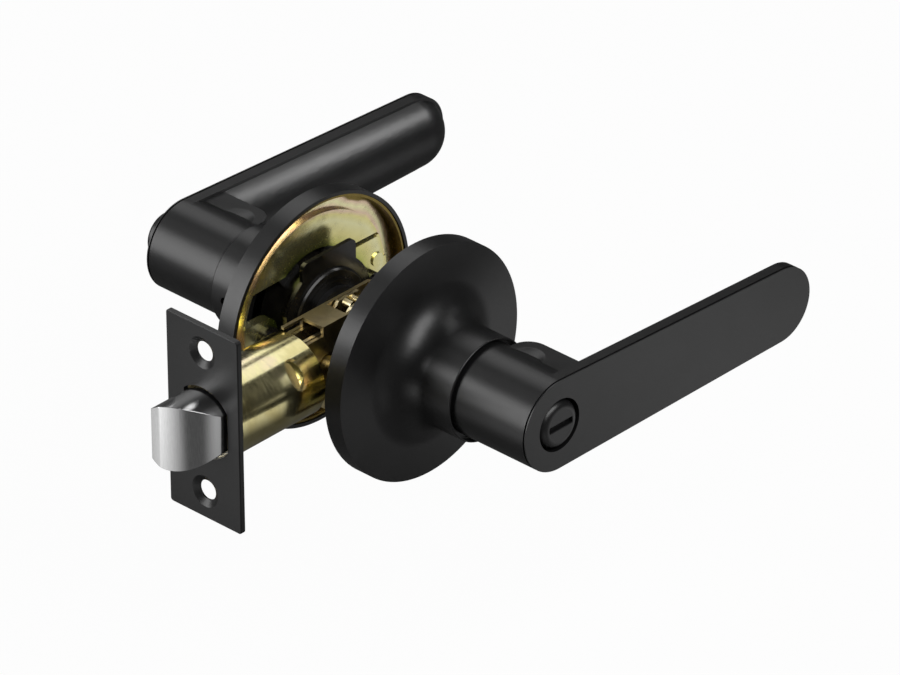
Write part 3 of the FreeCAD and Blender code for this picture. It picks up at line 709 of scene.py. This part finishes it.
@dataclass
class HandleHalf:
    """One side of the door: rose, liner, spring bracket, sleeve and lever.

    Attributes:
        side: the face of the door that it stands on.
        rack: the finishes.
        coat_edge: how far the rose's and the lever's edges are rounded, in metres.
        liner_edge: the same for the liner.
        steel_edge: the same for the spring bracket.
    """

    side: Side
    rack: FinishRack
    coat_edge: float = 0.25 * MM
    liner_edge: float = 0.15 * MM
    steel_edge: float = 0.3 * MM

    def node(self, part: str) -> str:
        """The name of one of this half's nodes."""
        return f"{self.side.value}_{part}"

    def dress(self) -> None:
        """Gives every node of this half its finish."""
        self.rack.dress(self.node("rose"), self.rack.coat, self.coat_edge)
        self.rack.dress(self.node("lever"), self.rack.coat, self.coat_edge)
        for part in ("sleeve", "lever_pin"):
            self.rack.dress(self.node(part), self.rack.coat)
        self.rack.dress(self.node("liner"), self.rack.liner, self.liner_edge)
        self.rack.dress(self.node("spring_housing"), self.rack.steel, self.steel_edge)
        for part in ("spring_driver", "retaining_ring"):
            self.rack.dress(self.node(part), self.rack.steel)
        self.rack.dress(self.node("return_spring"), self.rack.wire)


@dataclass
class Locking:
    """The privacy lock: push button, bar and slotted release.

    Attributes:
        rack: the finishes.
        button_edge: how far the two buttons' edges are rounded, in metres.
    """

    rack: FinishRack
    button_edge: float = 0.2 * MM

    def dress(self) -> None:
        """Gives the locking pieces their finishes."""
        self.rack.dress("inside_push_button", self.rack.coat, self.button_edge)
        self.rack.dress("outside_release_button", self.rack.coat, self.button_edge)
        self.rack.dress("lock_bar", self.rack.zinc)


@dataclass
class Fixings:
    """What joins the two halves: spindle, posts and screws.

    Attributes:
        rack: the finishes.
    """

    rack: FinishRack

    def dress(self) -> None:
        """Gives the joining pieces their finishes."""
        self.rack.dress("drive_spindle", self.rack.zinc)
        self.rack.dress("mounting_posts", self.rack.zinc)
        self.rack.dress("mounting_screws", self.rack.steel)


@dataclass
class Latch:
    """The tubular spring latch.

    Attributes:
        rack: the finishes.
        plate_edge: how far the edges of its plate, tube and case are rounded, in metres.
        bolt_edge: the same for the bolt.
        throw: how far the bolt slides, in metres.
    """

    rack: FinishRack
    plate_edge: float = 0.15 * MM
    bolt_edge: float = 0.35 * MM
    throw: float = 12.7 * MM

    def dress(self) -> None:
        """Gives every latch node its finish."""
        self.rack.dress("latch_faceplate", self.rack.coat, self.plate_edge)
        self.rack.dress("latch_bolt", self.rack.chrome, self.bolt_edge)
        self.rack.dress("latch_tube", self.rack.tube, self.plate_edge)
        spring = PackingSpring("latch_spring", "bolt_slide", self.throw).build()
        spring.data.materials.append(self.rack.wire)
        self.rack.dress("latch_case", self.rack.tail, self.plate_edge)
        for part in ("backplate", "spring_seat", "stem", "yoke", "yoke_pins", "cam"):
            self.rack.dress(f"latch_{part}", self.rack.zinc)


@dataclass(frozen=True)
class Softbox:
    """One rectangular studio light that faces the lock.

    Attributes:
        name: the light's name.
        azimuth: the way round from the front (-Y) towards +X, in degrees.
        elevation: the way up, in degrees.
        width: its size across, in metres.
        height: its size upward, in metres.
        power: its power in watts.
        distance: how far it stands from what it faces, in metres.
        aim: the point that it faces.
        spread: how wide its beam is, in radians.
    """

    name: str
    azimuth: float
    elevation: float
    width: float
    height: float
    power: float
    distance: float = 1.5
    aim: Triple = (0.0, 0.0, 0.0)
    spread: float = math.pi

    def make(self) -> bpy.types.Object:
        """Adds the light to the scene.

        Returns:
            The light object.
        """
        lamp = bpy.data.lights.new(self.name, "AREA")
        lamp.shape = "RECTANGLE"
        lamp.size = self.width
        lamp.size_y = self.height
        lamp.energy = self.power
        lamp.spread = self.spread
        box = bpy.data.objects.new(self.name, lamp)
        turn, rise = math.radians(self.azimuth), math.radians(self.elevation)
        level = math.cos(rise)
        away = Vector((math.sin(turn) * level, -math.cos(turn) * level, math.sin(rise)))
        box.location = Vector(self.aim) + away * self.distance
        box.rotation_mode = "QUATERNION"
        box.rotation_quaternion = away.to_track_quat("Z", "Y")
        bpy.context.scene.collection.objects.link(box)
        return box


@dataclass(frozen=True)
class Pool:
    """A round pool of light on the floor, which only reflections see.

    Attributes:
        across: its centre along X.
        deep: its centre along Y.
        reach: how far it spreads from its centre.
        peak: its brightness in the middle.
        edge: its brightness from its reach outward.
    """

    across: float
    deep: float
    reach: float
    peak: float
    edge: float = 0.02

    def glow(self, sheet: ShaderSheet) -> Socket:
        """Adds the pool to the floor's material.

        Args:
            sheet: the floor's material.

        Returns:
            The pool's brightness at a point.
        """
        away = sheet.distance((1.0, 1.0, 0.0), (self.across, self.deep, 0.0))
        return sheet.ranged(away, self.peak, self.edge, 0.0, self.reach)


@dataclass
class Studio:
    """Camera, white stage and soft lights.

    Attributes:
        lens: the camera's focal length in millimetres.
        sensor: the width of its sensor in millimetres.
        clip: the nearest and the farthest that it sees, in metres.
        place: where it stands.
        right: its X axis, to the right in the picture.
        upward: its Y axis, up in the picture.
        back: its Z axis, away from what it sees.
        floor_size: the floor's width and depth.
        floor_colour: the floor's own colour.
        floor_rough: the floor's roughness.
        floor_white: how much of what the camera sees of the floor is plain white.
        lever_sweep: how far the floor lies below the part, clear of turned levers.
        ambient: the surround's strength for everything but the camera.
        sky_gloss: what reflections see beyond that.
        pools: the pools of light that reflections see on the floor.
        lights: the soft lights.
    """

    lens: float = 389.81
    sensor: float = 36.0
    clip: tuple[float, float] = (0.05, 50.0)
    place: Triple = (-1.543974, -1.497472, 1.298166)
    right: Triple = (0.685748, -0.727800, -0.007556)
    upward: Triple = (0.380939, 0.350044, 0.855777)
    back: Triple = (-0.620190, -0.589725, 0.517289)
    floor_size: float = 12.0
    floor_colour: Colour = (0.86, 0.86, 0.86)
    floor_rough: float = 0.9
    floor_white: float = 0.96
    lever_sweep: float = 0.065
    ambient: float = 0.01
    sky_gloss: float = 0.03
    pools: tuple[Pool, ...] = (
        Pool(across=-0.30, deep=0.06, reach=0.20, peak=1.6),
        Pool(across=0.17, deep=-0.155, reach=0.16, peak=0.75),
        Pool(across=0.24, deep=-0.42, reach=0.26, peak=1.0),
        Pool(across=-0.05, deep=-0.185, reach=0.08, peak=0.5),
    )
    lights: tuple[Softbox, ...] = (
        Softbox("front", azimuth=-6.0, elevation=46.0, width=1.5, height=0.7, power=15.0),
        Softbox("left", azimuth=-128.0, elevation=14.0, width=0.8, height=1.3, power=13.0),
        Softbox("back_left", azimuth=-158.0, elevation=50.0, width=0.5, height=0.5, power=0.6),
        Softbox("back_right", azimuth=148.0, elevation=46.0, width=0.7, height=0.9, power=2.6),
        Softbox("right", azimuth=100.0, elevation=52.0, width=0.8, height=0.5, power=1.4),
        Softbox(
            "far_lever",
            azimuth=58.0,
            elevation=36.0,
            width=0.1,
            height=0.1,
            power=0.015,
            distance=0.22,
            aim=(0.05, 0.07, 0.02),
            spread=math.radians(42.0),
        ),
    )

    def camera(self) -> None:
        """Places the camera at the photograph's viewing angle."""
        data = bpy.data.cameras.new("camera")
        data.lens = self.lens
        data.sensor_width = self.sensor
        data.clip_start, data.clip_end = self.clip
        body = bpy.data.objects.new("camera", data)
        turn = Matrix((self.right, self.upward, self.back)).transposed().to_4x4()
        body.matrix_world = Matrix.Translation(self.place) @ turn
        bpy.context.scene.collection.objects.link(body)
        bpy.context.scene.camera = body

    def world(self) -> None:
        """Sets the surround: white to the camera, far dimmer to the lock and its reflections."""
        world = bpy.data.worlds.new("white_surround")
        world.use_nodes = True
        sheet = NodeSheet(world.node_tree)
        shine = sheet.reckon("MULTIPLY_ADD", sheet.ray("Glossy"), self.sky_gloss, self.ambient)
        dim = {"Color": WHITE, "Strength": shine}
        light = sheet.node("ShaderNodeBackground", "Background", dim)
        seen = sheet.node("ShaderNodeBackground", "Background", {"Color": WHITE})
        out = sheet.tree.nodes.new("ShaderNodeOutputWorld")
        sheet.feed(out, {"Surface": sheet.mixed(sheet.straight(1.0), light, seen)})
        bpy.context.scene.world = world

    def floor(self) -> None:
        """Lays the pale floor under the lock, clear of the levers when they turn down."""
        low = CAD_BOX[0].z - self.lever_sweep
        half = self.floor_size / 2
        corners = [(-half, -half, low), (half, -half, low), (half, half, low), (-half, half, low)]
        mesh = bpy.data.meshes.new("floor")
        mesh.from_pydata(corners, [], [(0, 1, 2, 3)])
        ground = bpy.data.objects.new("floor", mesh)
        bpy.context.scene.collection.objects.link(ground)
        mesh.materials.append(self.floor_material())

    def floor_material(self) -> bpy.types.Material:
        """Builds the floor: white with a shadow to the camera, pools of light to reflections.

        Returns:
            The material.
        """
        sheet = ShaderSheet("pale_floor")
        matt = {"Base Color": (*self.floor_colour, 1.0), "Roughness": self.floor_rough}
        sheet.feed(sheet.surface, matt)
        white = sheet.node("ShaderNodeEmission", "Emission", {"Color": WHITE})
        shadowed = sheet.surface.outputs["BSDF"]
        seen = sheet.mixed(sheet.straight(self.floor_white), shadowed, white)
        glow = self.pools[0].glow(sheet)
        for pool in self.pools[1:]:
            glow = sheet.reckon("ADD", glow, pool.glow(sheet))
        shine = sheet.node("ShaderNodeEmission", "Emission", {"Color": glow})
        sheet.feed(sheet.output, {"Surface": sheet.mixed(sheet.ray("Glossy"), seen, shine)})
        return sheet.material

    def build(self) -> None:
        """Sets up the whole studio."""
        self.camera()
        self.world()
        self.floor()
        for light in self.lights:
            light.make()
        bpy.context.scene.view_settings.view_transform = "Standard"


def main() -> None:
    """Dresses the lock and sets up the studio."""
    logging.basicConfig(level=logging.INFO)
    rack = FinishRack()
    halves = [HandleHalf(side, rack) for side in Side]
    for part in (*halves, Locking(rack), Fixings(rack), Latch(rack)):
        part.dress()
        LOG.info("finished %s", type(part).__name__)
    Studio().build()


if __name__ == "__main__":
    main()
